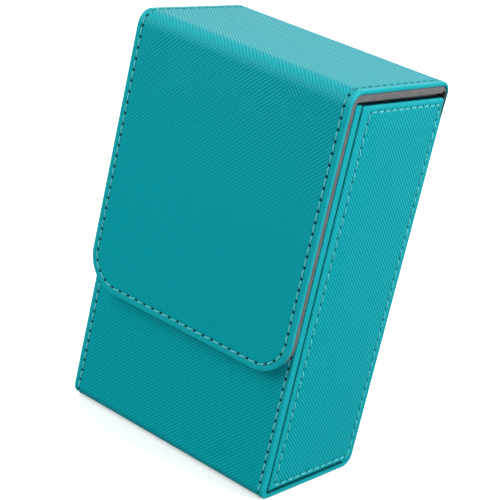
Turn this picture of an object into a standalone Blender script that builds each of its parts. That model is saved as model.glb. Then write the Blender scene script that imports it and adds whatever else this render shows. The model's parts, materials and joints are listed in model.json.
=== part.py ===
"""Flip-lid card deck box in stitched PU leather, for tall (70 x 120 mm) cards.

The body is one leather strip that wraps the front, bottom and back, with two separately
covered side panels set between them.  The lid is a stiff top and a stiff front flap joined by
a crease, hinged to the back of the body by a short leather lip.  The flap closes on magnets.

Metres, +Z up, +X to the viewer's right, front towards -Y.  The origin is the middle of the
footprint on the surface that the box stands on.  Dimensions below are in millimetres.
"""
import math

import bpy
import bmesh
from mathutils import Matrix, Vector

MM = 0.001

# ---- overall size -------------------------------------------------------------------------
DEPTH = 52.4            # flap face to back face
HEIGHT = 130.6          # floor to top of lid
BODY_W = 80.0           # width of the wrapped leather strip
SIDE_FACE_X = 40.3      # outer face of each side panel, slightly proud of the strip
LID_HALF_W = 40.3

Y_FLAP = -DEPTH / 2
Y_BACK = DEPTH / 2

# ---- body walls ---------------------------------------------------------------------------
LEATHER = 0.9           # leather with its backing
Y_FRONT = -22.3         # outer face of the body's front wall, behind the flap
FRONT_T = 2.8           # front wall, folded leather edge included
BOTTOM_T = 2.2
BACK_T = 1.3
BODY_R = 4.0            # bottom front and bottom back corners
FRONT_TOP = 126.0       # top of the front wall
CREASE_Z = 119.85       # leather hinge across the back
HINGE_GAP = 0.15        # half of the opening left at a leather crease
HINGE_OUT = 0.3         # hinge line outside the leather's face

SIDE_Y0, SIDE_Y1 = -19.2, 24.6
SIDE_Z0, SIDE_Z1 = 2.8, 126.05
SIDE_INNER_X = 37.3     # where the side tray ends and its lining begins
SIDE_LINING_X = 36.6
LINING = 0.6
WRAP_LINING_HALF = 36.5

# ---- lid ----------------------------------------------------------------------------------
LID_LEATHER = 1.35
LID_LEATHER_LIP = 0.5
LID_BACK_R = 4.5
LID_FRONT_R = 5.0
LID_UNDER_Z = 126.95    # underside of the lid's lining
FLAP_INNER_Y = -22.85
LINER_HALF_W = 40.05
LINER_SKIN = 0.7
FLAP_BOTTOM = 40.7
FLAP_CORNER_R = 12.0
LAYER = 0.1             # glue line between flat layers

# ---- magnets ------------------------------------------------------------------------------
MAGNET_R = 5.0
MAGNET_X = 22.0
MAGNET_Z = 53.0

# ---- stitching ----------------------------------------------------------------------------
THREAD_R = 0.25
THREAD_DEPTH = 0.29     # thread axis below the leather's face
GROOVE_W = 0.9
GROOVE_D = 0.66
WRAP_SEAM_X = 38.6
LID_SEAM_X = 38.15
FLAP_SEAM_IN = 2.15
SIDE_SEAM = (-15.9, 22.95, 4.25, 123.45)    # y0, y1, z0, z1

TEAL = (0.004, 0.31, 0.36, 1.0)
THREAD = (0.13, 0.56, 0.62, 1.0)
GREY = (0.16, 0.16, 0.17, 1.0)
BOARD = (0.35, 0.31, 0.26, 1.0)
STEEL = (0.55, 0.55, 0.56, 1.0)


# ---- scene and materials ------------------------------------------------------------------
for old in list(bpy.data.objects):
    bpy.data.objects.remove(old, do_unlink=True)

scene = bpy.context.scene
scene.unit_settings.system = "METRIC"
scene.unit_settings.length_unit = "MILLIMETERS"


def material(name, colour, roughness, metallic=0.0):
    m = bpy.data.materials.new(name)
    m.use_nodes = True
    b = m.node_tree.nodes["Principled BSDF"]
    b.inputs["Base Color"].default_value = colour
    b.inputs["Roughness"].default_value = roughness
    b.inputs["Metallic"].default_value = metallic
    m.diffuse_color = colour
    return m


LOOKS = {
    "leather": (TEAL, 0.5, 0.0),
    "lining": (GREY, 0.95, 0.0),
    "board": (BOARD, 0.9, 0.0),
    "thread": (THREAD, 0.6, 0.0),
    "magnet": (STEEL, 0.35, 1.0),
}


def add_object(name, bm, look=None):
    """Turns a bmesh in millimetres into a named object with its own material."""
    bmesh.ops.recalc_face_normals(bm, faces=bm.faces)
    bmesh.ops.transform(bm, matrix=Matrix.Scale(MM, 4), verts=bm.verts)
    me = bpy.data.meshes.new(name)
    bm.to_mesh(me)
    bm.free()
    ob = bpy.data.objects.new(name, me)
    scene.collection.objects.link(ob)
    if look:
        me.materials.append(material(name + "_" + look, *LOOKS[look]))
    return ob


# ---- shape helpers ------------------------------------------------------------------------
def arc(cy, cz, r, a0, a1, n):
    """Points on a circle in the YZ plane, angles in degrees from +Y towards +Z."""
    out = []
    for i in range(n + 1):
        a = math.radians(a0 + (a1 - a0) * i / n)
        out.append((cy + r * math.cos(a), cz + r * math.sin(a)))
    return out


def clean(points, tol=1e-4):
    out = []
    for p in points:
        if not out or math.dist(p, out[-1]) > tol:
            out.append(p)
    if len(out) > 1 and math.dist(out[0], out[-1]) <= tol:
        out.pop()
    return out


def prism_x(profile, x0, x1):
    """A closed YZ outline extruded along X."""
    profile = clean(profile)
    bm = bmesh.new()
    base = [bm.verts.new((x0, y, z)) for y, z in profile]
    face = bm.faces.new(base)
    grown = bmesh.ops.extrude_face_region(bm, geom=[face])
    moved = [v for v in grown["geom"] if isinstance(v, bmesh.types.BMVert)]
    bmesh.ops.translate(bm, verts=moved, vec=(x1 - x0, 0, 0))
    return bm


def block(x0, x1, y0, y1, z0, z1):
    return prism_x([(y0, z0), (y1, z0), (y1, z1), (y0, z1)], x0, x1)


def disc_y(x, z, y0, y1, r, n=32):
    bm = bmesh.new()
    bmesh.ops.create_cone(
        bm, cap_ends=True, segments=n, radius1=r, radius2=r, depth=y1 - y0
    )
    bmesh.ops.rotate(bm, verts=bm.verts, cent=(0, 0, 0), matrix=Matrix.Rotation(math.pi / 2, 3, "X"))
    bmesh.ops.translate(bm, verts=bm.verts, vec=(x, (y0 + y1) / 2, z))
    return bm


def skin(rings, closed=False):
    """Joins equal rings of points with quads and caps the two ends."""
    bm = bmesh.new()
    rows = [[bm.verts.new(p) for p in ring] for ring in rings]
    n = len(rows[0])
    last = len(rows) if closed else len(rows) - 1
    for i in range(last):
        a, b = rows[i], rows[(i + 1) % len(rows)]
        for k in range(n):
            bm.faces.new((a[k], a[(k + 1) % n], b[(k + 1) % n], b[k]))
    if not closed:
        bm.faces.new(list(reversed(rows[0])))
        bm.faces.new(rows[-1])
    return bm


def along(path, outward, section, closed=False):
    """Sweeps a section along a path.  section holds (sideways, outward) offsets, and outward
    holds the direction away from the leather at each path point."""
    rings = []
    count = len(path)
    for i in range(count):
        p = Vector(path[i])
        before = Vector(path[i - 1]) if (closed or i > 0) else None
        after = Vector(path[(i + 1) % count]) if (closed or i < count - 1) else None
        d0 = (p - before).normalized() if before is not None else (after - p).normalized()
        d1 = (after - p).normalized() if after is not None else d0
        tangent = (d0 + d1).normalized()
        stretch = 1.0 / max(0.5, tangent.dot(d0))
        out = Vector(outward[i]).normalized()
        side = tangent.cross(out).normalized()
        turns_sideways = abs(side.dot(d1 - d0)) > 1e-6
        ks = stretch if turns_sideways else 1.0
        ko = 1.0 if turns_sideways else stretch
        rings.append([p + side * (s * ks) + out * (o * ko) for s, o in section])
    return skin(rings, closed)


THREAD_SECTION = [
    (
        THREAD_R * math.cos(math.tau * (k + 0.5) / 8),
        THREAD_R * math.sin(math.tau * (k + 0.5) / 8) - THREAD_DEPTH,
    )
    for k in range(8)
]
GROOVE_SECTION = [
    (-GROOVE_W / 2, -GROOVE_D),
    (GROOVE_W / 2, -GROOVE_D),
    (GROOVE_W / 2, 0.8),
    (-GROOVE_W / 2, 0.8),
]


def longer(path, by):
    """The same open path with both ends drawn out, for a groove that outruns its thread."""
    a, b = Vector(path[0]), Vector(path[1])
    y, z = Vector(path[-2]), Vector(path[-1])
    return [a + (a - b).normalized() * by] + list(path[1:-1]) + [z + (z - y).normalized() * by]


cutters = []


def cut(ob, bm, name):
    """Subtracts a shape from ob with a Boolean modifier and keeps the shape as a guide."""
    tool = add_object(name, bm)
    tool.hide_render = True
    tool.display_type = "WIRE"
    cutters.append(tool)
    mod = ob.modifiers.new(name, "BOOLEAN")
    mod.operation = "DIFFERENCE"
    mod.solver = "EXACT"
    mod.object = tool
    return mod


def soften(ob, width, segments=2, angle=50):
    mod = ob.modifiers.new("edge", "BEVEL")
    mod.width = width * MM
    mod.segments = segments
    mod.limit_method = "ANGLE"
    mod.angle_limit = math.radians(angle)
    return mod


def smooth(ob, angle=35):
    ob.data.shade_smooth()
    ob.data.set_sharp_from_angle(angle=math.radians(angle))


# ---- body: leather strip round front, bottom and back ---------------------------------------
def strip_outer(inset=0.0, n=8):
    r = BODY_R - inset
    pts = [(Y_FRONT + inset, FRONT_TOP)]
    pts += arc(Y_FRONT + BODY_R, BODY_R, r, 180, 270, n)
    pts += arc(Y_BACK - BODY_R, BODY_R, r, 270, 360, n)
    pts += [(Y_BACK - inset, CREASE_Z - HINGE_GAP)]
    return clean(pts)


inner = [
    (Y_BACK - BACK_T, CREASE_Z - HINGE_GAP),
    (Y_BACK - BACK_T, BOTTOM_T),
    (Y_FRONT + FRONT_T, BOTTOM_T),
    (Y_FRONT + FRONT_T, FRONT_TOP),
]
wrap = add_object("body_wrap_leather", prism_x(strip_outer() + inner, -BODY_W / 2, BODY_W / 2), "leather")
soften(wrap, 0.35)

channel = [(Y_FRONT + LEATHER, FRONT_TOP - LEATHER)]
channel += arc(Y_FRONT + BODY_R, BODY_R, BODY_R - LEATHER, 180, 270, 8)
channel += [(23.0, LEATHER), (23.0, BOTTOM_T + 1.0), (Y_FRONT + FRONT_T + 1.0, BOTTOM_T + 1.0)]
channel += [(Y_FRONT + FRONT_T + 1.0, FRONT_TOP - LEATHER)]
half = BODY_W / 2 - LEATHER
cut(wrap, prism_x(channel, -half, half), "guide_wrap_channel")


def strip_seam(x):
    pts = strip_outer(0.0, 10)
    pts[0] = (Y_FRONT, FRONT_TOP - 1.6)
    pts[-1] = (Y_BACK, CREASE_Z - 1.8)
    path, out = [], []
    for i, (y, z) in enumerate(pts):
        a = pts[max(i - 1, 0)]
        b = pts[min(i + 1, len(pts) - 1)]
        ty, tz = b[0] - a[0], b[1] - a[1]
        size = math.hypot(ty, tz)
        path.append((x, y, z))
        out.append((0, tz / size, -ty / size))
    for k in (0, -1):
        out[k] = (0, -1, 0) if k == 0 else (0, 1, 0)
    return path, out


for side, sign in (("left", -1), ("right", 1)):
    path, out = strip_seam(sign * WRAP_SEAM_X)
    smooth(add_object("wrap_stitching_" + side, along(path, out, THREAD_SECTION), "thread"))
    cut(wrap, along(longer(path, 0.5), out, GROOVE_SECTION), "guide_wrap_groove_" + side)

# ---- body: boards in the strip ---------------------------------------------------------------
front_board = add_object(
    "front_board",
    block(-38.9, 38.9, Y_FRONT + LEATHER + LAYER, Y_FRONT + FRONT_T - LAYER, 4.2, FRONT_TOP - LEATHER - LAYER),
    "board",
)
add_object(
    "bottom_board",
    block(-38.9, 38.9, Y_FRONT + BODY_R + LAYER, 22.9, LEATHER + LAYER, BOTTOM_T - LAYER),
    "board",
)
add_object(
    "back_board",
    block(-36.3, 36.3, 22.8, Y_BACK - BACK_T - LAYER, BOTTOM_T + LAYER, CREASE_Z - 0.5),
    "board",
)

# ---- body: lining down the front, across the bottom and up the back -----------------------------
ly0, ly1, lz0 = Y_FRONT + FRONT_T, 22.7, BOTTOM_T
lining = [
    (ly0, FRONT_TOP - 0.5),
    (ly0, lz0),
    (ly1, lz0),
    (ly1, CREASE_Z - 0.4),
    (ly1 - LINING, CREASE_Z - 0.4),
    (ly1 - LINING, lz0 + LINING),
    (ly0 + LINING, lz0 + LINING),
    (ly0 + LINING, FRONT_TOP - 0.5),
]
add_object("wrap_lining", prism_x(lining, -WRAP_LINING_HALF, WRAP_LINING_HALF), "lining")

# ---- body: closure magnets in the front board ----------------------------------------------------
board_y0 = Y_FRONT + LEATHER + LAYER
board_y1 = Y_FRONT + FRONT_T - LAYER
for side, sign in (("left", -1), ("right", 1)):
    smooth(
        add_object(
            "front_magnet_" + side,
            disc_y(sign * MAGNET_X, MAGNET_Z, board_y0 + 0.1, board_y1 - 0.1, MAGNET_R),
            "magnet",
        )
    )
    cut(
        front_board,
        disc_y(sign * MAGNET_X, MAGNET_Z, board_y0 - 1, board_y1 + 1, MAGNET_R + 0.15),
        "guide_front_magnet_" + side,
    )

# ---- body: side panels -------------------------------------------------------------------------
def seam_loop(x, y0, y1, z0, z1, r=1.2, n=3):
    pts = []
    for cy, cz, a in ((y1 - r, z1 - r, 0), (y0 + r, z1 - r, 90), (y0 + r, z0 + r, 180), (y1 - r, z0 + r, 270)):
        pts += arc(cy, cz, r, a, a + 90, n)
    return [(x, y, z) for y, z in clean(pts)]


for side, sign in (("left", -1), ("right", 1)):
    def span(a, b):
        return (sign * a, sign * b) if sign > 0 else (sign * b, sign * a)

    tray = add_object(
        side + "_side_leather",
        block(*span(SIDE_INNER_X, SIDE_FACE_X), SIDE_Y0, SIDE_Y1, SIDE_Z0, SIDE_Z1),
        "leather",
    )
    soften(tray, 0.45)
    w = LEATHER
    cut(
        tray,
        block(*span(SIDE_INNER_X - 1, SIDE_FACE_X - w), SIDE_Y0 + w, SIDE_Y1 - w, SIDE_Z0 + w, SIDE_Z1 - w),
        "guide_side_pocket_" + side,
    )
    g = w + LAYER
    add_object(
        side + "_side_board",
        block(*span(SIDE_INNER_X, SIDE_FACE_X - g), SIDE_Y0 + g, SIDE_Y1 - g, SIDE_Z0 + g, SIDE_Z1 - g),
        "board",
    )
    add_object(
        side + "_side_lining",
        block(*span(SIDE_LINING_X, SIDE_INNER_X - LAYER), SIDE_Y0 + 0.2, SIDE_Y1 - 0.2, SIDE_Z0 + 0.1, SIDE_Z1 - 0.5),
        "lining",
    )
    loop = seam_loop(sign * SIDE_FACE_X, *SIDE_SEAM)
    out = [(sign, 0, 0)] * len(loop)
    smooth(add_object("side_stitching_" + side, along(loop, out, THREAD_SECTION, closed=True), "thread"))
    cut(tray, along(loop, out, GROOVE_SECTION, closed=True), "guide_side_groove_" + side)

# ---- lid: axes of the two leather creases ---------------------------------------------------------
fy, fz = Y_FLAP + LID_FRONT_R, HEIGHT - LID_FRONT_R      # centre of the front corner
by, bz = Y_BACK - LID_BACK_R, HEIGHT - LID_BACK_R        # centre of the back corner
C45 = math.sqrt(0.5)
E = (-C45, C45)                                          # out through the corner
T = (C45, C45)                                           # towards the lid top
crease_r = LID_FRONT_R + HINGE_OUT


def empty(name, y, z, parent=None):
    e = bpy.data.objects.new(name, None)
    e.empty_display_size = 0.01
    scene.collection.objects.link(e)
    e.location = (0, y * MM, z * MM)
    if parent:
        e.parent = parent
        e.location = Vector((0, y * MM, z * MM)) - parent.location
    return e


lid_axis = empty("lid_hinge_axis", Y_BACK + HINGE_OUT, CREASE_Z)
flap_axis = empty("flap_crease_axis", fy + crease_r * E[0], fz + crease_r * E[1], lid_axis)


def hang(ob, axis):
    bpy.context.view_layer.update()
    ob.parent = axis
    ob.matrix_parent_inverse = axis.matrix_world.inverted()
    return ob


def mitre(r, towards):
    """Where a layer of corner radius r meets the crease plane, on the lid's or the flap's side."""
    return (fy + E[0] * r + T[0] * HINGE_GAP * towards, fz + E[1] * r + T[1] * HINGE_GAP * towards)


# ---- lid: top ------------------------------------------------------------------------------------
lip_z = CREASE_Z + HINGE_GAP
outer = [(Y_BACK, lip_z)] + arc(by, bz, LID_BACK_R, 0, 90, 8)
outer += arc(fy, fz, LID_FRONT_R, 90, 128, 4) + [mitre(LID_FRONT_R, 1)]
ri = LID_FRONT_R - LID_LEATHER
iy = Y_BACK - LID_LEATHER_LIP
iz = HEIGHT - LID_LEATHER
rb = 2.8
inside = [mitre(ri, 1)] + arc(fy, fz, ri, 126, 90, 4)
inside += arc(iy - rb, iz - rb, rb, 90, 0, 6) + [(iy, lip_z)]
lid_leather = add_object("lid_top_leather", prism_x(outer + inside, -LID_HALF_W, LID_HALF_W), "leather")
soften(lid_leather, 0.2, 2, 70)
hang(lid_leather, lid_axis)

lo = ri - LAYER
lz = LID_UNDER_Z
lining_y = iy - LAYER
lip_in = 24.9
outer = [(lining_y, lip_z)] + arc(iy - rb, iz - rb, rb - LAYER, 0, 90, 6)
outer += arc(fy, fz, lo, 90, 126, 4) + [mitre(lo, 1)]
r2 = lz - fz
inside = [mitre(r2 + 0.12, 1)] + arc(fy, fz, r2, 118, 90, 2)
inside += arc(lip_in - 1.0, lz - 1.0, 1.0, 90, 0, 4) + [(lip_in, lip_z)]
lid_lining = add_object("lid_top_lining", prism_x(outer + inside, -LINER_HALF_W, LINER_HALF_W), "lining")
pw = LINER_HALF_W - 0.85
cut(lid_lining, block(-pw, pw, fy + 0.7, 22.0, lz + LINER_SKIN, HEIGHT), "guide_lid_board_pocket")
hang(lid_lining, lid_axis)
hang(
    add_object(
        "lid_top_board",
        block(-pw + 0.2, pw - 0.2, fy + 0.9, 21.8, lz + LINER_SKIN + LAYER, iz - 0.15),
        "board",
    ),
    lid_axis,
)

for side, sign in (("left", -1), ("right", 1)):
    path = [(sign * LID_SEAM_X, fy + 0.8, HEIGHT), (sign * LID_SEAM_X, by - 0.4, HEIGHT)]
    out = [(0, 0, 1)] * 2
    thread = add_object("lid_stitching_" + side, along(path, out, THREAD_SECTION), "thread")
    smooth(thread)
    hang(thread, lid_axis)
    cut(lid_leather, along(longer(path, 0.4), out, GROOVE_SECTION), "guide_lid_groove_" + side)

# ---- lid: front flap -------------------------------------------------------------------------------
def flap_shell(half_w, bottom, corner_r, y_out, y_in, r_out, r_in, n=10):
    """A plate with two round lower corners, whose top bends into the front corner's crease."""
    rings = []
    for i in range(n + 1):
        a = math.radians(90.0 * i / n)
        w = half_w - corner_r + corner_r * math.sin(a)
        z = bottom + corner_r * (1 - math.cos(a))
        rings.append(((w, y_out, z), (w, y_in, z)))
    rings.append(((half_w, y_out, fz), (half_w, y_in, fz)))
    for a in (171, 162, 153, 144):
        c, s = math.cos(math.radians(a)), math.sin(math.radians(a))
        rings.append(((half_w, fy + r_out * c, fz + r_out * s), (half_w, fy + r_in * c, fz + r_in * s)))
    (oy, oz), (ny, nz) = mitre(r_out, -1), mitre(r_in, -1)
    rings.append(((half_w, oy, oz), (half_w, ny, nz)))
    full = []
    for (w, yo, zo), (_, yi, zi) in rings:
        full.append([(-w, yo, zo), (w, yo, zo), (w, yi, zi), (-w, yi, zi)])
    return skin(full)


def flap_plate(half_w, bottom, corner_r, y0, y1, top, n=10):
    rings = []
    for i in range(n + 1):
        a = math.radians(90.0 * i / n)
        w = half_w - corner_r + corner_r * math.sin(a)
        z = bottom + corner_r * (1 - math.cos(a))
        rings.append([(-w, y0, z), (w, y0, z), (w, y1, z), (-w, y1, z)])
    rings.append([(-half_w, y0, top), (half_w, y0, top), (half_w, y1, top), (-half_w, y1, top)])
    return skin(rings)


flap_leather = add_object(
    "flap_leather",
    flap_shell(LID_HALF_W, FLAP_BOTTOM, FLAP_CORNER_R, Y_FLAP, Y_FLAP + LID_LEATHER, LID_FRONT_R, ri),
    "leather",
)
soften(flap_leather, 0.2, 2, 70)
hang(flap_leather, flap_axis)

step = LID_HALF_W - LINER_HALF_W
liner_y = Y_FLAP + LID_LEATHER + LAYER
flap_lining = add_object(
    "flap_lining",
    flap_shell(LINER_HALF_W, FLAP_BOTTOM + step, FLAP_CORNER_R - step, liner_y, FLAP_INNER_Y, lo, fy - FLAP_INNER_Y),
    "lining",
)
rim = 0.85
floor_y = FLAP_INNER_Y - LINER_SKIN
cut(
    flap_lining,
    flap_plate(
        LINER_HALF_W - rim, FLAP_BOTTOM + step + rim, FLAP_CORNER_R - step - rim, Y_FLAP, floor_y, fz - 0.7
    ),
    "guide_flap_board_pocket",
)
hang(flap_lining, flap_axis)
gap = rim + 0.2
flap_board = add_object(
    "flap_board",
    flap_plate(
        LINER_HALF_W - gap, FLAP_BOTTOM + step + gap, FLAP_CORNER_R - step - gap, liner_y, floor_y - LAYER, fz - 0.9
    ),
    "board",
)
hang(flap_board, flap_axis)
for side, sign in (("left", -1), ("right", 1)):
    disc = add_object(
        "flap_magnet_" + side,
        disc_y(sign * MAGNET_X, MAGNET_Z, liner_y + 0.05, floor_y - LAYER - 0.05, MAGNET_R),
        "magnet",
    )
    smooth(disc)
    hang(disc, flap_axis)
    cut(
        flap_board,
        disc_y(sign * MAGNET_X, MAGNET_Z, liner_y - 1, floor_y + 1, MAGNET_R + 0.15),
        "guide_flap_magnet_" + side,
    )

seam_x = LID_HALF_W - FLAP_SEAM_IN
seam_r = FLAP_CORNER_R - FLAP_SEAM_IN
seam_z = FLAP_BOTTOM + FLAP_SEAM_IN
path = [(-seam_x, Y_FLAP, fz - 0.8)]
for i in range(9):
    a = math.radians(180 + 90 * i / 8)
    path.append((-seam_x + seam_r + seam_r * math.cos(a), Y_FLAP, seam_z + seam_r + seam_r * math.sin(a)))
for i in range(9):
    a = math.radians(270 + 90 * i / 8)
    path.append((seam_x - seam_r + seam_r * math.cos(a), Y_FLAP, seam_z + seam_r + seam_r * math.sin(a)))
path.append((seam_x, Y_FLAP, fz - 0.8))
out = [(0, -1, 0)] * len(path)
thread = add_object("flap_stitching", along(path, out, THREAD_SECTION), "thread")
smooth(thread)
hang(thread, flap_axis)
cut(flap_leather, along(longer(path, 0.4), out, GROOVE_SECTION), "guide_flap_groove")

for ob in (wrap, lid_leather, lid_lining, flap_leather, flap_lining):
    smooth(ob)
for tool in cutters:
    tool.hide_viewport = False
bpy.context.view_layer.update()
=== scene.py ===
"""Looks of the flip-lid card deck box: stitched teal PU leather with a fine diagonal cross
weave over boards, grey microfibre liner, tone-on-tone lockstitching.  Lengths below are in
millimetres and are turned into metres when a mesh is made."""
import json
import math

import bpy
import numpy as np
from mathutils import Matrix, Vector


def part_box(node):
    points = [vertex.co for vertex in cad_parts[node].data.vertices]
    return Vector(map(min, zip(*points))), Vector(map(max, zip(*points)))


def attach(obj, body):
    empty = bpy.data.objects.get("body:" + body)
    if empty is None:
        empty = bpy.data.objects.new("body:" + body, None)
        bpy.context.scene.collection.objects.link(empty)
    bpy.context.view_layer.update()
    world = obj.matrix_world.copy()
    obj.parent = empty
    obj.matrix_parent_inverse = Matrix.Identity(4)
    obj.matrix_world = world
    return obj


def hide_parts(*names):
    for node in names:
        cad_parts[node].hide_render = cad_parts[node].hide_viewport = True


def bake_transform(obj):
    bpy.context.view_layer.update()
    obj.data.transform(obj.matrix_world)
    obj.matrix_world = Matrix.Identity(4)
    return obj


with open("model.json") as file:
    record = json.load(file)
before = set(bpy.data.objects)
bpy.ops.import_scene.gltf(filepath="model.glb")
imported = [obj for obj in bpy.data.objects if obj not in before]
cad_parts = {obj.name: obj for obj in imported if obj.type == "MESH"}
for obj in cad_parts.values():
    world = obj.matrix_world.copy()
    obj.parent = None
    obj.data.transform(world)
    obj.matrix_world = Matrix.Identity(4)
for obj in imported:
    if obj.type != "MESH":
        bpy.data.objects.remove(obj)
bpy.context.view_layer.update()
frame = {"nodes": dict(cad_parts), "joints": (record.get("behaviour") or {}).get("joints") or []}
nodes = frame["nodes"]


def box(name):
    lo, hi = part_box(name)
    return np.array(lo) * 1000.0, np.array(hi) * 1000.0


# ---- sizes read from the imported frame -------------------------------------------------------
flap_lo, flap_hi = box("flap_leather")
top_lo, top_hi = box("lid_top_leather")
wrap_lo, wrap_hi = box("body_wrap_leather")
side_lo, side_hi = box("right_side_leather")
fliner_lo, fliner_hi = box("flap_lining")
tliner_lo, tliner_hi = box("lid_top_lining")

Y_FLAP = flap_lo[1]
Y_BACK = top_hi[1]
HEIGHT = top_hi[2]
Y_FRONT = wrap_lo[1]
FRONT_TOP = wrap_hi[2]
BODY_HALF = wrap_hi[0]
LID_HALF = flap_hi[0]
FLAP_BOTTOM = flap_lo[2]
LINER_HALF = tliner_hi[0]
FLAP_INNER = fliner_hi[1] if fliner_hi[1] < 0 else -22.85
LID_UNDER = 126.7
hinge = next(j for j in frame["joints"] if j["name"] == "lid_hinge")
crease = next(j for j in frame["joints"] if j["name"] == "flap_crease")
CREASE_Z = hinge["pos_m"][2] * 1000.0

FRONT_T, BOTTOM_T, BACK_T = 2.8, 1.6, 1.3
LEATHER = 0.9
BODY_R, BACK_R, FRONT_R, CORNER_R = 4.0, 4.5, 5.0, 12.0
LID_T, LIP_T = 1.35, 0.5
FY, FZ = Y_FLAP + FRONT_R, HEIGHT - FRONT_R
BY, BZ = Y_BACK - BACK_R, HEIGHT - BACK_R
MID_Y = 0.0

PITCH = 3.49
BODY_SEAM = 1.4
LEFT_SEAM = 2.1      # the seam on the left edge runs a little further in
LID_SEAM = 2.15
THREAD_R = 0.22

rng = np.random.default_rng(7)


# ---- materials ------------------------------------------------------------------------------
class Nodes:
    def __init__(self, name):
        self.m = bpy.data.materials.new(name)
        self.m.use_nodes = True
        self.t = self.m.node_tree
        self.p = self.t.nodes["Principled BSDF"]

    def new(self, kind, **values):
        n = self.t.nodes.new(kind)
        for k, v in values.items():
            setattr(n, k, v)
        return n

    def link(self, a, b):
        self.t.links.new(a, b)

    def value(self, socket, v):
        if isinstance(v, (int, float, tuple)):
            socket.default_value = v
        else:
            self.link(v, socket)

    def math(self, op, a, b=0.0, c=0.0, clamp=False):
        n = self.new("ShaderNodeMath", operation=op, use_clamp=clamp)
        self.value(n.inputs[0], a)
        self.value(n.inputs[1], b)
        self.value(n.inputs[2], c)
        return n.outputs[0]

    def mix(self, f, a, b):
        n = self.new("ShaderNodeMix", data_type="RGBA")
        self.value(n.inputs["Factor"], f)
        self.value(n.inputs["A"], a)
        self.value(n.inputs["B"], b)
        return n.outputs["Result"]

    def noise(self, vector, scale, detail=2.0, rough=0.5):
        n = self.new("ShaderNodeTexNoise")
        self.link(vector, n.inputs["Vector"])
        n.inputs["Scale"].default_value = scale
        n.inputs["Detail"].default_value = detail
        n.inputs["Roughness"].default_value = rough
        return n.outputs["Fac"]

    def bump(self, height, strength, distance, normal=None):
        n = self.new("ShaderNodeBump")
        n.inputs["Strength"].default_value = strength
        n.inputs["Distance"].default_value = distance
        self.link(height, n.inputs["Height"])
        if normal is not None:
            self.link(normal, n.inputs["Normal"])
        return n.outputs["Normal"]


WEAVE = 0.96            # mm between ribs, in both diagonals


def leather_material(name):
    n = Nodes(name)
    a = n.new("ShaderNodeAttribute", attribute_name="sheet")
    w = n.new("ShaderNodeAttribute", attribute_name="tone")
    sep = n.new("ShaderNodeSeparateXYZ")
    n.link(a.outputs["Vector"], sep.inputs[0])
    u, v, amount = sep.outputs[0], sep.outputs[1], sep.outputs[2]
    tone = n.new("ShaderNodeSeparateXYZ")
    n.link(w.outputs["Vector"], tone.inputs[0])
    pit, wear_and_highlight, balance = tone.outputs[0], tone.outputs[1], tone.outputs[2]
    # the sheet isn't laid perfectly straight, and its ribs wander a little
    wander = n.math("MULTIPLY", n.math("SUBTRACT", n.noise(a.outputs["Vector"], 0.11, 1.0), 0.5), 1.6)
    patch = n.noise(a.outputs["Vector"], 0.9, 2.0)
    fine = n.noise(a.outputs["Vector"], 5.5, 3.0, 0.6)
    k = math.tau / WEAVE / math.sqrt(2)
    d1 = n.math("MULTIPLY_ADD", n.math("ADD", u, v), k, wander)
    d2 = n.math("MULTIPLY_ADD", n.math("SUBTRACT", u, v), k, wander)
    r1 = n.math("SINE", d1)
    r2 = n.math("SINE", d2)
    # which of the two rib sets stands out changes with the face: the press and the light favour one, and the light's
    # share is painted into the ribs' colour, set per face
    drift = n.math("MULTIPLY_ADD", n.math("SUBTRACT", n.noise(a.outputs["Vector"], 0.06, 2.0), 0.5), 0.9, balance, clamp=True)
    ribs = n.math("ADD", n.math("MULTIPLY", r1, drift), n.math("MULTIPLY", r2, n.math("SUBTRACT", 1.0, drift)))
    # crowded ridges: flat tops and narrow valleys
    uneven = n.math("MULTIPLY_ADD", patch, 1.5, 0.3)
    crossing = n.math("MULTIPLY", n.math("MULTIPLY", r1, r2), 0.14)
    ribs = n.math("MULTIPLY", n.math("MULTIPLY", n.math("ADD", ribs, crossing), uneven), amount)
    # painted shade and highlight: the ribs are coloured darker in their valleys and lighter on their ridges, standing
    # in for the light on the embossed weave as well as the bump
    shade = n.math("MULTIPLY_ADD", ribs, 0.5, 0.5, clamp=True)
    colour = n.mix(shade, (0.0, 0.226, 0.262, 1.0), (0.0008, 0.394, 0.452, 1.0))
    grain = n.math("MULTIPLY", n.math("SUBTRACT", fine, 0.5), 0.8, clamp=False)
    colour = n.mix(n.math("ABSOLUTE", grain), colour, (0.0, 0.2, 0.24, 1.0))
    # rubbed leather and painted highlight: rounded edges, bends and the crease are painted a lighter teal, partly
    # rubbing and partly the light on the bends
    colour = n.mix(n.math("MULTIPLY", wear_and_highlight, 0.55, clamp=True), colour, (0.025, 0.56, 0.62, 1.0))
    # painted shade: stitch holes and the gaps round the side panels are painted near black by the pit channel
    colour = n.mix(n.math("MULTIPLY", pit, 1.0, clamp=True), colour, (0.0, 0.012, 0.018, 1.0))
    n.link(colour, n.p.inputs["Base Color"])
    rough = n.math("MULTIPLY_ADD", shade, -0.1, 0.44)
    rough = n.math("MULTIPLY_ADD", fine, 0.1, rough)
    n.link(rough, n.p.inputs["Roughness"])
    n.p.inputs["Specular IOR Level"].default_value = 0.12
    height = n.math("MULTIPLY_ADD", fine, 0.12, ribs)
    n.link(n.bump(height, 0.32, 0.00012), n.p.inputs["Normal"])
    n.m.diffuse_color = (0.0, 0.33, 0.38, 1.0)
    return n.m


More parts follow.
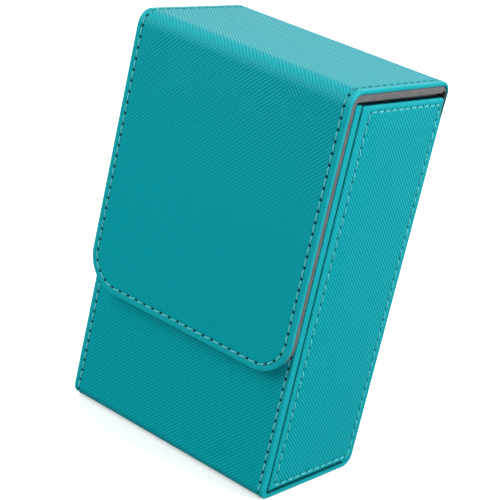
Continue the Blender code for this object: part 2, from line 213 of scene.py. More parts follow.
def microfibre_material(name, dark=1.0):
    n = Nodes(name)
    c = n.new("ShaderNodeTexCoord")
    pos = c.outputs["Object"]
    nap = n.noise(pos, 260.0, 4.0, 0.7)
    fluff = n.noise(pos, 1500.0, 3.0, 0.8)
    fibre = n.noise(pos, 5200.0, 2.0, 0.6)
    f = n.math("MULTIPLY_ADD", fluff, 0.6, n.math("MULTIPLY", nap, 0.4), clamp=True)
    f = n.math("MULTIPLY_ADD", n.math("SUBTRACT", f, 0.5), 1.9, 0.5, clamp=True)
    lo = tuple(x * dark for x in (0.062, 0.06, 0.063)) + (1.0,)
    hi = tuple(x * dark for x in (0.2, 0.194, 0.2)) + (1.0,)
    colour = n.mix(f, lo, hi)
    colour = n.mix(n.math("MULTIPLY", n.math("GREATER_THAN", fibre, 0.66), 0.35), colour, tuple(x * dark for x in (0.28, 0.27, 0.275)) + (1.0,))
    w = n.new("ShaderNodeAttribute", attribute_name="tone")
    tone = n.new("ShaderNodeSeparateXYZ")
    n.link(w.outputs["Vector"], tone.inputs[0])
    # painted shade: the tone attribute darkens the liner towards black, used on the lid liner's lip in the gap behind
    # the side panel
    colour = n.mix(tone.outputs[0], colour, (0.012, 0.012, 0.013, 1.0))
    n.link(colour, n.p.inputs["Base Color"])
    n.link(n.math("MULTIPLY_ADD", nap, 0.08, 0.9), n.p.inputs["Roughness"])
    n.p.inputs["Specular IOR Level"].default_value = 0.15
    n.p.inputs["Sheen Weight"].default_value = 0.12
    n.p.inputs["Sheen Roughness"].default_value = 0.5
    n.link(n.bump(n.math("ADD", fluff, n.math("MULTIPLY", fibre, 0.5)), 0.7, 0.00018), n.p.inputs["Normal"])
    n.m.diffuse_color = (0.16, 0.16, 0.16, 1.0)
    return n.m


def thread_material(name):
    n = Nodes(name)
    w = n.new("ShaderNodeAttribute", attribute_name="tone")
    tone = n.new("ShaderNodeSeparateXYZ")
    n.link(w.outputs["Vector"], tone.inputs[0])
    c = n.new("ShaderNodeTexCoord")
    f = n.noise(c.outputs["Object"], 2600.0, 2.0)
    # painted shade and light: plies lighter on their crowns and darker between them, and each set of stitches given its
    # own brightness for the face it lies on
    colour = n.mix(tone.outputs[1], (0.02, 0.4, 0.45, 1.0), (0.19, 0.72, 0.78, 1.0))
    colour = n.mix(n.math("MULTIPLY", f, 0.25), colour, (0.2, 0.76, 0.82, 1.0))
    # painted shade: thread ends going into the holes and the threads on the lid's top are painted darker
    colour = n.mix(tone.outputs[0], colour, (0.0, 0.06, 0.075, 1.0))
    n.link(colour, n.p.inputs["Base Color"])
    n.link(n.math("MULTIPLY_ADD", f, 0.2, 0.42), n.p.inputs["Roughness"])
    n.p.inputs["Specular IOR Level"].default_value = 0.3
    n.link(n.bump(f, 0.3, 0.00005), n.p.inputs["Normal"])
    n.m.diffuse_color = (0.15, 0.6, 0.66, 1.0)
    return n.m


def board_material(name):
    n = Nodes(name)
    c = n.new("ShaderNodeTexCoord")
    pos = c.outputs["Object"]
    fleck = n.noise(pos, 900.0, 4.0, 0.7)
    cloud = n.noise(pos, 60.0, 3.0)
    colour = n.mix(n.math("MULTIPLY_ADD", cloud, 0.5, n.math("MULTIPLY", fleck, 0.5)), (0.24, 0.21, 0.17, 1.0), (0.47, 0.43, 0.37, 1.0))
    n.link(colour, n.p.inputs["Base Color"])
    n.link(n.math("MULTIPLY_ADD", fleck, 0.1, 0.84), n.p.inputs["Roughness"])
    n.link(n.bump(fleck, 0.4, 0.0001), n.p.inputs["Normal"])
    return n.m


def magnet_material(name):
    n = Nodes(name)
    c = n.new("ShaderNodeTexCoord")
    f = n.noise(c.outputs["Object"], 700.0, 3.0)
    n.link(n.mix(f, (0.5, 0.5, 0.5, 1.0), (0.66, 0.66, 0.67, 1.0)), n.p.inputs["Base Color"])
    n.p.inputs["Metallic"].default_value = 1.0
    n.link(n.math("MULTIPLY_ADD", f, 0.22, 0.2), n.p.inputs["Roughness"])
    return n.m


LEATHER_MAT = leather_material("teal_pu_leather")
LINER_MAT = microfibre_material("grey_microfibre")
THREAD_MAT = thread_material("teal_thread")
BOARD_MAT = board_material("grey_board")
MAGNET_MAT = magnet_material("nickel_magnet")


# ---- mesh making ----------------------------------------------------------------------------
class Build:
    """Vertices with a place on the leather sheet (u, v, weave amount) and a tone (pit darkness, which is painted shade,
    and rubbing with painted highlight).
    """

    def __init__(self):
        self.v, self.s, self.t, self.f = [], [], [], []

    def add(self, p, sheet=(0, 0, 0), tone=(0, 0, 0)):
        self.v.append(tuple(p))
        self.s.append(tuple(sheet))
        self.t.append(tuple(tone))
        return len(self.v) - 1

    def quad_rows(self, a, b, loop):
        n = len(a)
        for k in range(n if loop else n - 1):
            j = (k + 1) % n
            self.f.append((a[k], a[j], b[j], b[k]))

    def make(self, name, material, flip=False, angle=38):
        import bmesh
        me = bpy.data.meshes.new(name)
        co = [(x / 1000.0, y / 1000.0, z / 1000.0) for x, y, z in self.v]
        me.from_pydata(co, [], self.f)
        for label, data in (("sheet", self.s), ("tone", self.t)):
            layer = me.attributes.new(label, "FLOAT_VECTOR", "POINT")
            layer.data.foreach_set("vector", np.array(data, np.float32).ravel())
        bm = bmesh.new()
        bm.from_mesh(me)
        bmesh.ops.recalc_face_normals(bm, faces=bm.faces)
        big = [f for f in bm.faces if len(f.verts) > 4]
        if big:
            bmesh.ops.triangulate(bm, faces=big, quad_method="BEAUTY", ngon_method="BEAUTY")
        bm.to_mesh(me)
        bm.free()
        me.materials.append(material)
        me.shade_smooth()
        me.set_sharp_from_angle(angle=math.radians(angle))
        ob = bpy.data.objects.new(name, me)
        bpy.context.scene.collection.objects.link(ob)
        return ob


class Path:
    """Straight and round stretches in the YZ plane: place and outward normal at a length s."""

    def __init__(self):
        self.parts, self.length = [], 0.0

    def line(self, a, b, normal):
        size = math.dist(a, b)
        self.parts.append(("line", self.length, size, a, b, normal))
        self.length += size
        return self

    def arc(self, c, r, a0, a1, sign=1):
        size = abs(math.radians(a1 - a0)) * r
        self.parts.append(("arc", self.length, size, c, r, (math.radians(a0), math.radians(a1)), sign))
        self.length += size
        return self

    def at(self, s):
        for part in self.parts:
            if s <= part[1] + part[2] + 1e-9 or part is self.parts[-1]:
                f = (s - part[1]) / part[2]
                if part[0] == "line":
                    _, _, _, a, b, n = part
                    return (a[0] + (b[0] - a[0]) * f, a[1] + (b[1] - a[1]) * f), n
                _, _, _, c, r, (a0, a1), sign = part
                f = min(max(f, 0.0), 1.0)
                t = a0 + (a1 - a0) * f
                n = (math.cos(t) * sign, math.sin(t) * sign)
                return (c[0] + r * math.cos(t), c[1] + r * math.sin(t)), n

    def starts(self):
        return [p[1] for p in self.parts] + [self.length]


HOLE_STEPS = (-0.6, -0.4, -0.2, 0.0, 0.2, 0.4, 0.6)


def stations(length, holes, extra=(), gap=1.3):
    marks = {0.0, round(length, 5)}
    for h in holes:
        for d in HOLE_STEPS:
            if 0 < h + d < length:
                marks.add(round(h + d, 5))
    for e in extra:
        if 0 <= e <= length:
            marks.add(round(e, 5))
    marks = sorted(marks)
    out = [marks[0]]
    for m in marks[1:]:
        if m - out[-1] < 0.02 and m != marks[-1]:
            continue
        n = max(1, int(math.ceil((m - out[-1]) / gap)))
        a = out[-1]
        out += [a + (m - a) * (i + 1) / n for i in range(n)]
    return out


def smoothstep(x, a, b):
    t = min(max((x - a) / (b - a), 0.0), 1.0)
    return t * t * (3 - 2 * t)


SEAM_STEPS = (-0.6, -0.4, -0.2, 0.0, 0.2, 0.4, 0.6)


def surface(delta, hole_distance, deep=1.0, dark=1.0):
    """Height and painted shade of leather near a seam: delta across it, hole_distance along it. The stitch holes are
    painted dark.
    """
    h = -0.15 * deep * math.exp(-((delta / 0.42) ** 2))
    h += 0.035 * math.exp(-(((abs(delta) - 0.8) / 0.3) ** 2))
    pit = math.exp(-((delta / 0.37) ** 2) - (hole_distance / 0.41) ** 2)
    return h - 0.5 * deep * pit, dark * min(1.0, 2.6 * max(pit - 0.12, 0.0))


def nearest(s, holes):
    if len(holes) == 0:
        return 9.0
    i = np.searchsorted(holes, s)
    best = 9.0
    for j in (i - 1, i):
        if 0 <= j < len(holes):
            best = min(best, abs(holes[j] - s))
    return best


def sheet_section(seam, radius, crown_at):
    """Offsets in from one edge of a leather strip's face, from the edge to its middle:
    (kind, value), where an edge point is an angle and a face point is an inset."""
    out = [("round", a) for a in (90, 67, 45, 22)]
    out += [("face", radius), ("face", radius + 0.45 * (seam - 0.6 - radius))]
    out += [("face", seam + d) for d in SEAM_STEPS]
    out += [("face", seam + d) for d in (0.95, 1.8, 3.4, 6.0, 9.0)]
    return out


# ---- leather strips ---------------------------------------------------------------------------
def leather_strip(name, path, balance, half, seam, thick, floor, holes, v0, crown=0.18, end_round=(), amount=1.0, wear_and_highlight=None, deep=lambda s: 1.0, extra=(), radius=0.35, rich=lambda s: 1.0, seam_left=None):
    """A strip of leather folded over its two long edges, following path.
    half, seam, thick, floor and deep are functions of the length along it."""
    b = Build()
    st = stations(path.length, holes, list(extra) + path.starts())
    rows = []
    for s in st:
        (y, z), (ny, nz) = path.at(s)
        W, si, T, F = half(s), seam(s), thick(s), floor(s)
        e = 0.0
        for place, size in end_round:
            if size:
                d = abs(s - place)
                if d < size:
                    e = max(e, size - math.sqrt(max(size * size - (size - d) ** 2, 0.0)))
        hd = nearest(s, holes)
        dp = deep(s)
        row = []
        wear_and_highlight_s = wear_and_highlight(s) if wear_and_highlight else 0.0

        def put(x, depth, u, amt, pit=0.0, rub_and_highlight=0.0, lift=0.0):
            d = depth - lift
            row.append(b.add((x, y - ny * d, z - nz * d), (u, v0 + s, amt * rich(s)), (pit, rub_and_highlight, balance(s))))

        def edge(si):
            out = []
            for kind, val in sheet_section(si, radius, 0):
                out.append(edge_point(kind, val, si))
            return out

        def edge_point(kind, val, si):
            if kind == "round":
                a = math.radians(val)
                inset = radius * (1 - math.sin(a))
                depth = radius * (1 - math.cos(a)) if val < 90 else radius
                if val == 90:
                    inset, depth = 0.0, radius
                return (inset, depth + e, 0.8, 0.0, 0.42, 0.0)
            else:
                h, pit = surface(val - si, hd, dp)
                x = W - val
                c = crown * (1 - (x / (W - si)) ** 2) if x < W - si else 0.0
                fade = smoothstep(val, si - 0.3, si + 1.6)
                amt = amount * (0.55 + 0.45 * fade)
                # rubbing and painted highlight, lighter towards the folded edge
                rub_and_highlight = 0.3 * (1 - smoothstep(val, 0.2, si + 0.4)) + wear_and_highlight_s
                return (val, e, amt, pit, rub_and_highlight, h + c)

        left, right = edge(seam_left(s) if seam_left else si), edge(si)
        middle = []
        inner_most = right[-1][0]
        for f in (0.66, 0.33):
            x = (W - inner_most) * f
            middle.append((x, crown * (1 - (x / (W - si)) ** 2)))
        # left edge to right edge over the face
        for inset, depth, amt, pit, rub_and_highlight, lift in left:
            put(-(W - inset), depth, -(W - inset), amt, pit, rub_and_highlight, lift)
        for x, c in middle:
            put(-x, e, -x, amount, 0, wear_and_highlight_s, c)
        put(0.0, e, 0.0, amount, 0, wear_and_highlight_s, crown)
        for x, c in reversed(middle):
            put(x, e, x, amount, 0, wear_and_highlight_s, c)
        for inset, depth, amt, pit, rub_and_highlight, lift in reversed(right):
            put(W - inset, depth, W - inset, amt, pit, rub_and_highlight, lift)
        # down the right side, across the back and up the left side
        inner = T - e
        for sign in (1, -1):
            seq = [(W, inner - 0.25), (W - 0.08, inner - 0.07), (W - 0.25, inner)]
            if F is not None:
                seq += [(W - LEATHER, inner), (W - LEATHER, min(F, inner - 0.02))]
            if sign < 0:
                seq = list(reversed(seq))
            for x, d in seq:
                # painted shade in the gap between the wrap's folded edge and the side panel, darkest on the faces
                # deepest in, less along the bottom
                gap_shade = (0.0 if x > W - 0.02 else (0.3 if x > W - 0.15 else 0.85)) * (1.0 - 0.35 * abs(nz)) + 0.1 * max(0.0, -nz)
                put(sign * x, d, sign * (W + d), 0.85, gap_shade if F is not None else 0.0, 0.25)
        rows.append(row)
    for a, c in zip(rows[:-1], rows[1:]):
        b.quad_rows(a, c, True)
    b.f.append(tuple(rows[0]))
    b.f.append(tuple(reversed(rows[-1])))
    return b.make(name, LEATHER_MAT)


def even_holes(a, b, pitch=PITCH):
    n = max(1, round((b - a) / pitch))
    return np.array([a + (b - a) * i / n for i in range(n + 1)])


# front, bottom: the strip from the front wall's top edge to the bottom back corner
path1 = Path()
path1.line((Y_FRONT, FRONT_TOP), (Y_FRONT, BODY_R), (-1, 0))
path1.arc((Y_FRONT + BODY_R, BODY_R), BODY_R, 180, 270)
path1.line((Y_FRONT + BODY_R, 0.0), (Y_BACK - BODY_R, 0.0), (0, -1))
holes1 = even_holes(1.72, path1.length)
corner1 = path1.starts()[1]


def thick1(s):
    return FRONT_T + (BOTTOM_T - FRONT_T) * smoothstep(s, corner1, corner1 + 6.3)


def floor1(s):
    return LEATHER if s > 0.95 else 99.0


wrap = leather_strip(
    "body_wrap", path1, lambda s: 0.74, lambda s: BODY_HALF, lambda s: BODY_SEAM, thick1, floor1, holes1, -FRONT_TOP,
    crown=0.0, deep=lambda s: 1.0 - 0.6 * smoothstep(s, corner1 - 2.0, corner1 + 1.0), seam_left=lambda s: LEFT_SEAM, end_round=((0.0, 0.45),), extra=(0.03, 0.1, 0.22, 0.34, 0.45, 0.94, 0.96) + tuple(corner1 + i * 0.52 for i in range(13)),
    # painted highlight and rubbing on the front-bottom bend and along the front wall's top edge
    wear_and_highlight=lambda s: 0.25 * math.exp(-(((s - corner1 - 3.1) / 2.6) ** 2)) + 0.3 * math.exp(-((s / 0.7) ** 2)),
)
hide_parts("body_wrap_leather")
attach(wrap, "body")

# back, hinge lip and the back half of the lid's top: one sheet across the hinge
path2 = Path()
path2.arc((Y_BACK - BODY_R, BODY_R), BODY_R, 270, 360)
path2.line((Y_BACK, BODY_R), (Y_BACK, BZ), (1, 0))
path2.arc((BY, BZ), BACK_R, 0, 90)
path2.line((BY, HEIGHT), (MID_Y, HEIGHT), (0, 1))
s_back = path2.starts()[1]
s_crease = s_back + CREASE_Z - BODY_R
s_corner2 = path2.starts()[2]
s_top2 = path2.starts()[3]
holes2 = np.concatenate([
    even_holes(0.0, s_crease - 1.9),
    even_holes(s_crease + 2.3, path2.length),
])


def half2(s):
    return BODY_HALF + (LID_HALF - BODY_HALF) * smoothstep(s, s_crease + 0.5, s_top2)


def seam2(s):
    return BODY_SEAM + (LID_SEAM - BODY_SEAM) * smoothstep(s, s_crease - 1.2, s_crease + 1.2)


def left2(s):
    return LEFT_SEAM + (LID_SEAM - LEFT_SEAM) * smoothstep(s, s_crease - 1.2, s_crease + 1.2)


def thick2(s):
    a = BOTTOM_T + (BACK_T - BOTTOM_T) * smoothstep(s, 0.0, s_back)
    b = a + (LIP_T - a) * smoothstep(s, s_crease - 0.6, s_crease + 0.4)
    return b + (LID_T - LIP_T) * smoothstep(s, s_corner2 + 1.0, s_top2)


def deep2(s):
    return 1.0 - 0.5 * smoothstep(s, s_crease - 0.8, s_crease) * (1 - smoothstep(s, s_corner2, s_corner2 + 3))


back = leather_strip(
    "back_and_lid_top", path2, lambda s: 0.5 - 0.32 * smoothstep(s, s_corner2, s_top2), half2, seam2, thick2, lambda s: None, holes2, -FRONT_TOP + path1.length,
    crown=0.0, amount=1.0, rich=lambda s: 1.0 + 0.25 * smoothstep(s, s_corner2, s_top2), extra=tuple(i * 0.52 for i in range(13)) + tuple(s_crease - 2.4 + i * 0.2 for i in range(25)) + tuple(s_corner2 + i * 0.44 for i in range(17)),
    # painted highlight and rubbing on the back's two bends and along the crease
    wear_and_highlight=lambda s: 0.25 * math.exp(-(((s - s_corner2 - 3.5) / 2.4) ** 2)) + 0.25 * math.exp(-(((s - 3.1) / 2.6) ** 2)) + 0.15 * math.exp(-(((s - s_crease) / 0.8) ** 2)),
    deep=deep2, seam_left=left2,
)
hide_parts("lid_top_leather")
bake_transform(back)


V_JOINT = -FRONT_TOP + path1.length + path2.length


def flap_piece(name, material, half, r_out, y_out, thick_top, thick_flap, bottom, corner_r, seam, radius, holes_on, pocket, leather):
    """The lid's top from its middle, round the front corner and down the flap, as one sheet."""
    b = Build()
    path = Path()
    path.line((MID_Y, FZ + r_out), (FY, FZ + r_out), (0, 1))
    path.arc((FY, FZ), r_out, 90, 180)
    top_z = FZ - (0.75 if pocket else 0.0)
    if pocket:
        path.line((y_out, FZ), (y_out, top_z), (-1, 0))
    s_c = path.starts()[1]
    s_e = path.length
    # the seam round the flap: down, round, across, round and up
    line_len = top_z - (bottom + corner_r)
    rs = corner_r - seam
    arc_len = rs * math.pi / 2
    width = 2 * (half - corner_r)
    around = 2 * line_len + 2 * arc_len + width
    holes_a = even_holes(0.0, s_e) if holes_on else np.array([])
    holes_b = even_holes(0.0, around) if holes_on else np.array([])

    def ring_place(t):
        """Seam point (x, z) and outward direction at a length t round the flap."""
        if t < line_len:
            return (-(half - seam), top_z - t), (-1.0, 0.0)
        t -= line_len
        if t < arc_len:
            a = math.pi + t / rs
            return (-(half - corner_r) + rs * math.cos(a), bottom + corner_r + rs * math.sin(a)), (math.cos(a), math.sin(a))
        t -= arc_len
        if t < width:
            return (-(half - corner_r) + t, bottom + seam), (0.0, -1.0)
        t -= width
        if t < arc_len:
            a = 1.5 * math.pi + t / rs
            return (half - corner_r + rs * math.cos(a), bottom + corner_r + rs * math.sin(a)), (math.cos(a), math.sin(a))
        t -= arc_len
        return (half - seam, bottom + corner_r + t), (1.0, 0.0)

    if leather:
        section = sheet_section(seam, radius, 0)
    else:
        section = [("round", a) for a in (90, 67, 45, 22)] + [("face", radius), ("face", 0.85)]
    inner = [("wall", 0.0, radius if not leather else 0.25)]

    def entries(s_or_t, hd, floor_open):
        """(inset, depth from outer face, sheet inset, amount, pit darkness as painted shade, rubbing and painted
        highlight) from the edge inwards.
        """
        out = []
        for kind, val in section:
            if kind == "round":
                a = math.radians(val)
                out.append((radius * (1 - math.sin(a)), radius * (1 - math.cos(a)) if val < 90 else radius, 0.15, 0.0, 0.5))
            else:
                h, pit = surface(val - seam, hd) if holes_on else (0.0, 0.0)
                fade = smoothstep(val, seam - 0.3, seam + 1.6)
                out.append((val, -h, 0.22 + 0.78 * fade, pit, 0.3 * (1 - smoothstep(val, 0.2, seam + 0.4))))
        if pocket:
            out.append((0.86, 1.2 if floor_open else 0.02, 0.0, 0.0, 0.0))
        return out

    def under(thick):
        r = 0.25 if leather else radius
        return [(0.0, thick - r), (r * 0.3, thick - r * 0.3), (r, thick)] + ([(2.4, thick)] if not leather else [])

    extra = [s_c + i * 0.49 for i in range(int((s_e - s_c) / 0.49))] + [s_e]
    if pocket:
        extra += [s_c - 0.72, s_c - 0.7]
    st = stations(path.length, holes_a, extra + path.starts())
    rows, mids = [], []
    for s in st:
        (y, z), (ny, nz) = path.at(s)
        k = smoothstep(s, s_c, s_c + r_out * math.pi / 2)
        thick = thick_top + (thick_flap - thick_top) * k
        hd = nearest(s, holes_a)
        open_floor = s < s_c - 0.71
        ent = entries(s, hd, open_floor)
        # painted highlight on the lid's rounded front bend, where the light falls brightest
        bend_highlight = 0.3 * math.exp(-(((s - s_c - r_out * 0.785) / 2.4) ** 2))
        row = []
        bal = 0.22 + 0.29 * k
        rich = 1.25 + 0.69 * k

        def put(x, depth, amt, pit, rub_and_highlight):
            return b.add((x, y - ny * depth, z - nz * depth), (x, V_JOINT + s, amt * rich), (pit, rub_and_highlight + bend_highlight, bal) if leather else (0, 0, 0))

        left = [put(-(half - i), d, amt, pit, rub_and_highlight) for i, d, amt, pit, rub_and_highlight in ent]
        right = [put(half - i, d, amt, pit, rub_and_highlight) for i, d, amt, pit, rub_and_highlight in ent]
        deepest = ent[-1][1] if pocket else 0.0
        span = [put(x, deepest, 1.0, 0, 0) for x in (-18.0, -6.0, 6.0, 18.0)]
        ul = [put(-(half - i), d, 0.15, 0, 0.2) for i, d in under(thick)]
        ur = [put(half - i, d, 0.15, 0, 0.2) for i, d in under(thick)]
        uspan = [put(x, thick, 0.15, 0, 0) for x in (-18.0, -6.0, 6.0, 18.0)]
        row = left + span + right[::-1] + ur + uspan[::-1] + ul[::-1]
        rows.append(row)
        mids.append((left, span, right, ul, uspan, ur))
    for a, c in zip(rows[:-1], rows[1:]):
        b.quad_rows(a, c, True)
    b.f.append(tuple(rows[0]))
    left, span, right, ul, uspan, ur = mids[-1]
    n_in = len(left)
    n_un = len(ul)
    marks = [0.0, line_len, line_len + arc_len, line_len + arc_len + width, line_len + 2 * arc_len + width, around]
    extra = list(marks)
    for base in (line_len, line_len + arc_len + width):
        extra += [base + arc_len * i / 16 for i in range(17)]
    ts = stations(around, holes_b, extra, gap=1.6)
    cols = []
    v_top = V_JOINT + s_e
    for t in ts:
        if t < 1e-6:
            cols.append(left + ul)
            continue
        if t > around - 1e-6:
            cols.append(right + ur)
            continue
        (px, pz), (ox, oz) = ring_place(t)
        hd = nearest(t, holes_b)
        ent = entries(t, hd, True)
        col = []
        for i, d, amt, pit, rub_and_highlight in ent:
            x, z = px + ox * (seam - i), pz + oz * (seam - i)
            col.append(b.add((x, y_out + d, z), (x, v_top + top_z - z, amt * (0.64 + 1.3 * smoothstep(z, 80.0, 122.0))), (pit, rub_and_highlight, 0.57 - 0.06 * smoothstep(z, 80.0, 122.0)) if leather else (0, 0, 0)))
        for i, d in under(thick_flap):
            x, z = px + ox * (seam - i), pz + oz * (seam - i)
            col.append(b.add((x, y_out + d, z), (x, v_top + top_z - z, 0.15), (0, 0.2, 0.56) if leather else (0, 0, 0)))
        cols.append(col)
    for a, c in zip(cols[:-1], cols[1:]):
        for k in range(n_in - 1):
            b.f.append((a[k], a[k + 1], c[k + 1], c[k]))
        for k in range(n_in, n_in + n_un - 1):
            b.f.append((a[k], a[k + 1], c[k + 1], c[k]))
        b.f.append((a[0], a[n_in], c[n_in], c[0]))
    face = [c[n_in - 1] for c in cols]
    b.f.append(tuple(face + span[::-1]))
    face = [c[n_in + n_un - 1] for c in cols]
    b.f.append(tuple(face + uspan[::-1]))
    ob = b.make(name, material)
    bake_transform(ob)
    return ob, path, ring_place, holes_a, holes_b, s_e


flap, path3, ring3, holes3a, holes3b, _ = flap_piece(
    "lid_front_and_flap", LEATHER_MAT, LID_HALF, FRONT_R, Y_FLAP, LID_T, LID_T, FLAP_BOTTOM, CORNER_R, LID_SEAM, 0.35, True, False, True,
)
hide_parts("flap_leather")

GAP = 0.3
r_liner = FRONT_R - LID_T - GAP
step = LID_HALF - LINER_HALF + 0.15
fliner, *_ = flap_piece(
    "flap_liner", LINER_MAT, LID_HALF - step, r_liner, Y_FLAP + LID_T + GAP, FZ + r_liner - LID_UNDER, FLAP_INNER - (Y_FLAP + LID_T + GAP),
    FLAP_BOTTOM + step, CORNER_R - step, 1.9, 0.55, False, True, False,
)
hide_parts("flap_lining")


# ---- liner of the lid's back half, down the lip to the hinge ------------------------------------
def lid_liner():
    b = Build()
    y0 = Y_BACK - LIP_T - 0.1
    z1 = HEIGHT - LID_T - GAP
    r = 2.7
    path = Path()
    path.line((y0, CREASE_Z - 0.25), (y0, z1 - r), (1, 0))
    path.arc((y0 - r, z1 - r), r, 0, 90)
    path.line((y0 - r, z1), (MID_Y, z1), (0, 1))
    sa, sb = path.starts()[1], path.starts()[2]
    s_open = sb + (y0 - r) - 22.0
    extra = [i * 0.2 for i in range(14)] + [sa + i * 0.42 for i in range(11)] + [s_open, s_open + 0.02]
    rows = []
    for s in stations(path.length, [], extra + path.starts()):
        (y, z), (ny, nz) = path.at(s)
        thick = 0.7 + (z1 - LID_UNDER - 0.7) * smoothstep(s, sa + 0.6, sb)
        rad = 0.25 + 0.3 * smoothstep(s, sa, sb)
        floor = 1.5 if s > s_open + 0.01 else 0.02
        half = LID_HALF - step
        seq = []
        for a in (90, 60, 30, 0):
            t = math.radians(a)
            seq.append((half - rad * (1 - math.sin(t)), rad * (1 - math.cos(t))))
        seq += [(half - 0.85, 0.0), (half - 0.86, floor)]
        under = [(half, thick - rad), (half - rad * 0.3, thick - rad * 0.3), (half - rad, thick), (half - 2.4, thick)]
        full = [(-x, d) for x, d in seq] + [(-14.0, floor), (14.0, floor)] + [(x, d) for x, d in reversed(seq)]
        full += [(x, d) for x, d in under] + [(14.0, thick), (-14.0, thick)] + [(-x, d) for x, d in reversed(under)]
        # painted shade on the lip, fading out round the bend to the top
        dim = 0.72 * (1 - smoothstep(s, sa, sb + 0.5))
        rows.append([b.add((x, y - ny * d, z - nz * d), tone=(dim, 0, 0)) for x, d in full])
    for a, c in zip(rows[:-1], rows[1:]):
        b.quad_rows(a, c, True)
    b.f.append(tuple(rows[0]))
    b.f.append(tuple(reversed(rows[-1])))
    ob = b.make("lid_liner", LINER_MAT)
    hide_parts("lid_top_lining")
    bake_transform(ob)
    return ob


lid_liner()


# ---- side panels ---------------------------------------------------------------------------------
SIDE_T = 3.0
SIDE_QUAD = [(22.95, 123.45), (-14.95, 123.6), (-16.75, 4.25), (22.6, 4.3)]


def quad_path(corners, r):
    """Rounded four-sided loop: pieces of (start length, size, function to place and normal)."""
    parts, length = [], 0.0
    n = len(corners)
    cs = [np.array(c, float) for c in corners]
    area = sum(cs[i][0] * cs[(i + 1) % n][1] - cs[(i + 1) % n][0] * cs[i][1] for i in range(n))
    sign = 1 if area > 0 else -1
    ends = []
    for i in range(n):
        p, a, c = cs[i], cs[i - 1], cs[(i + 1) % n]
        u, w = (a - p) / np.linalg.norm(a - p), (c - p) / np.linalg.norm(c - p)
        ang = math.acos(float(np.clip(u @ w, -1, 1)))
        d = r / math.tan(ang / 2)
        centre = p + (u + w) / np.linalg.norm(u + w) * (r / math.sin(ang / 2))
        ends.append((p + u * d, p + w * d, centre, math.pi - ang))
    for i in range(n):
        a, b2, centre, turn = ends[i]
        size = turn * r
        t0 = math.atan2(*(a - centre)[::-1])
        parts.append((length, size, "arc", centre, t0, turn * sign))
        length += size
        nxt = ends[(i + 1) % n][0]
        size = float(np.linalg.norm(nxt - b2))
        d = (nxt - b2) / size
        parts.append((length, size, "line", b2, d, np.array([d[1], -d[0]]) * sign))
        length += size

    def at(s):
        s = s % length
        for p0, size, kind, *rest in parts:
            if s <= p0 + size + 1e-9:
                f = (s - p0) / size
                if kind == "arc":
                    centre, t0, turn = rest
                    t = t0 + turn * f
                    nrm = np.array([math.cos(t), math.sin(t)])
                    return centre + nrm * r, nrm
                start, d, nrm = rest
                return start + d * (s - p0), nrm

    marks = [p[0] for p in parts]
    return at, length, marks, parts


